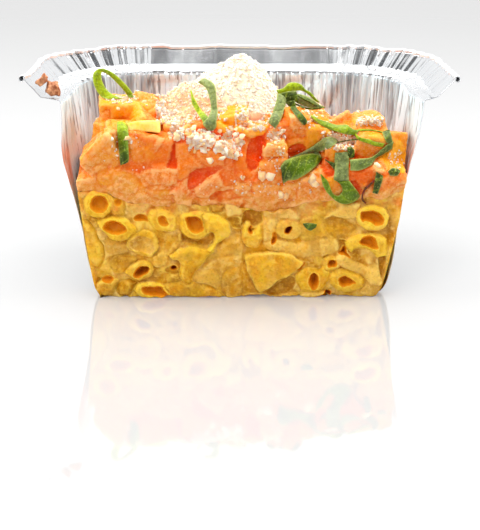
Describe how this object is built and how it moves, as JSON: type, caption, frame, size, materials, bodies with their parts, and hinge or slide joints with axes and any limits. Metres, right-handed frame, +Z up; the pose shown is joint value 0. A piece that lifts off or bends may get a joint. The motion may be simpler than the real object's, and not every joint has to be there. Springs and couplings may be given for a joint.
{
  "type": "macaroni cheese in half a cut foil tray",
  "caption": "Baked macaroni cheese with diced tomato, grated cheese and basil ribbons, in half of a square foil tray that is cut to show its layers.",
  "frame": {"origin": "middle of the bounding box at its base, which is the plane that the tray stands on", "axes": "+X along the cut face from left to right as seen from the front, +Y from the cut face into the tray, +Z up"},
  "size_m": [0.1118, 0.0618, 0.061],
  "materials": {
    "foil": "bright pressed foil, pleated at the corners",
    "pasta": "cooked macaroni in cheese sauce, moist",
    "tomato": "wet diced tomato",
    "cheese": "finely grated hard cheese, dry",
    "yellow_pepper": "wet yellow pepper flesh",
    "basil": "fresh basil leaf cut in ribbons, bright above and paler below",
    "dried_tomato": "dried scrap of tomato"
  },
  "bodies": {
    "root": {"foil_tray": "foil", "pasta_layer": "pasta", "tomato_layer": "tomato", "cheese_heap": "cheese", "yellow_pepper_piece": "yellow_pepper", "basil_loop": "basil", "basil_front": "basil", "basil_vee": "basil", "basil_crown_left": "basil", "basil_crown_right": "basil", "basil_crown_arc": "basil", "basil_crown_leaf": "basil", "basil_fork": "basil", "basil_fork_tip": "basil", "basil_wide": "basil", "basil_pale": "basil", "basil_drop": "basil", "basil_hook": "basil", "basil_sweep": "basil", "basil_chip": "basil", "basil_chip_right": "basil", "basil_chip_pasta": "basil", "tomato_scrap_ledge": "dried_tomato", "tomato_scrap_rim": "dried_tomato"}
  },
  "joints": []
}
